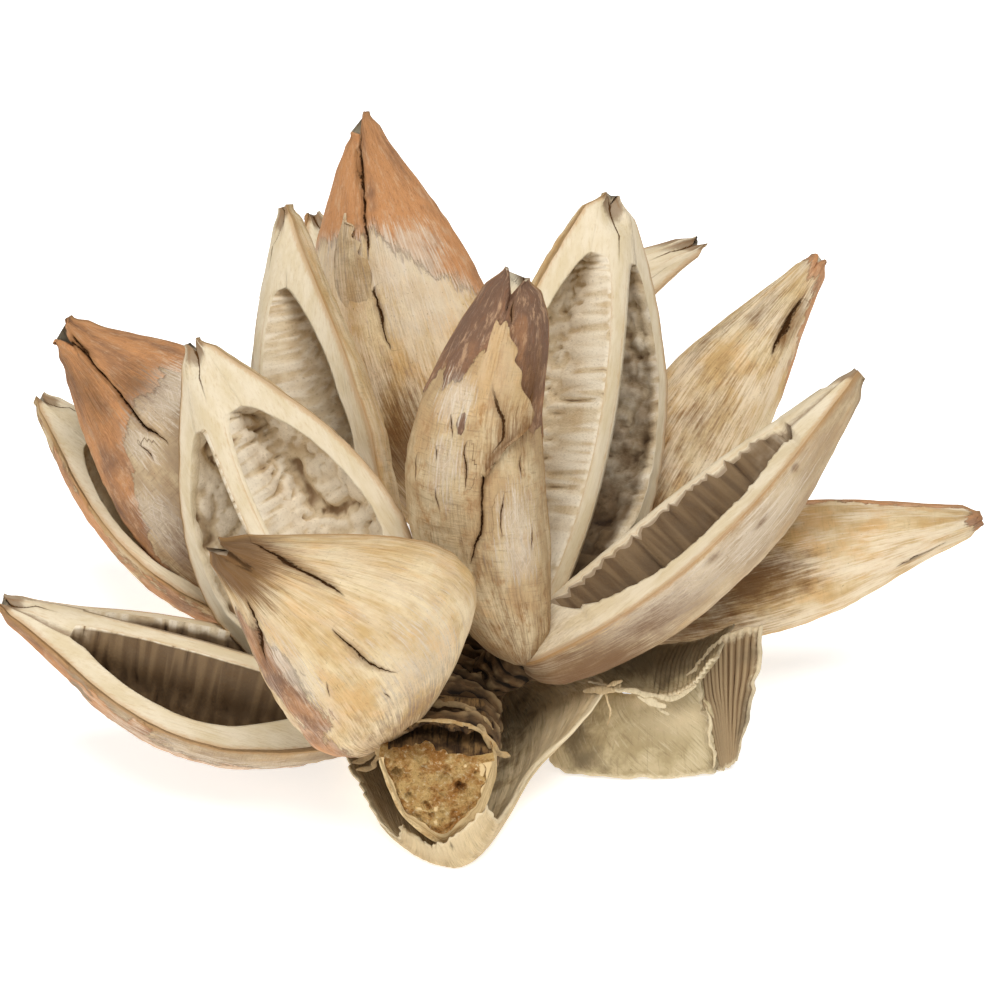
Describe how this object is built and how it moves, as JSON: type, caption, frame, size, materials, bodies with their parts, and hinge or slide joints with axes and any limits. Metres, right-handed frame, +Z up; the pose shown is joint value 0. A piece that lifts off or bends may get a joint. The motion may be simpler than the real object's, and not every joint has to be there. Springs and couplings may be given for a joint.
{
  "type": "dried seed head",
  "caption": "Dried star pod: woody seed capsules, split open from the tip into boat-shaped valves, fanned round a short cut stalk that lies in a torn spathe.",
  "frame": {"origin": "on the table plane, under the middle of the spathe's keel", "axes": "+X to the right seen from the cut end of the stalk, +Y away from the cut end along the stalk, +Z up"},
  "size_m": [0.1995, 0.1673, 0.107],
  "materials": {
    "woody_husk": "dry, matt woody husk",
    "dried_stalk": "dry, wrinkled, matt",
    "papery_bract": "dry, papery, ribbed"
  },
  "bodies": {
    "root": {"capsule_front_left": "woody_husk", "capsule_left": "woody_husk", "capsule_rear": "woody_husk", "capsule_middle": "woody_husk", "capsule_right": "woody_husk", "stalk": "dried_stalk", "spathe": "papery_bract", "bract_right": "papery_bract", "bract_curl": "papery_bract"}
  },
  "joints": []
}
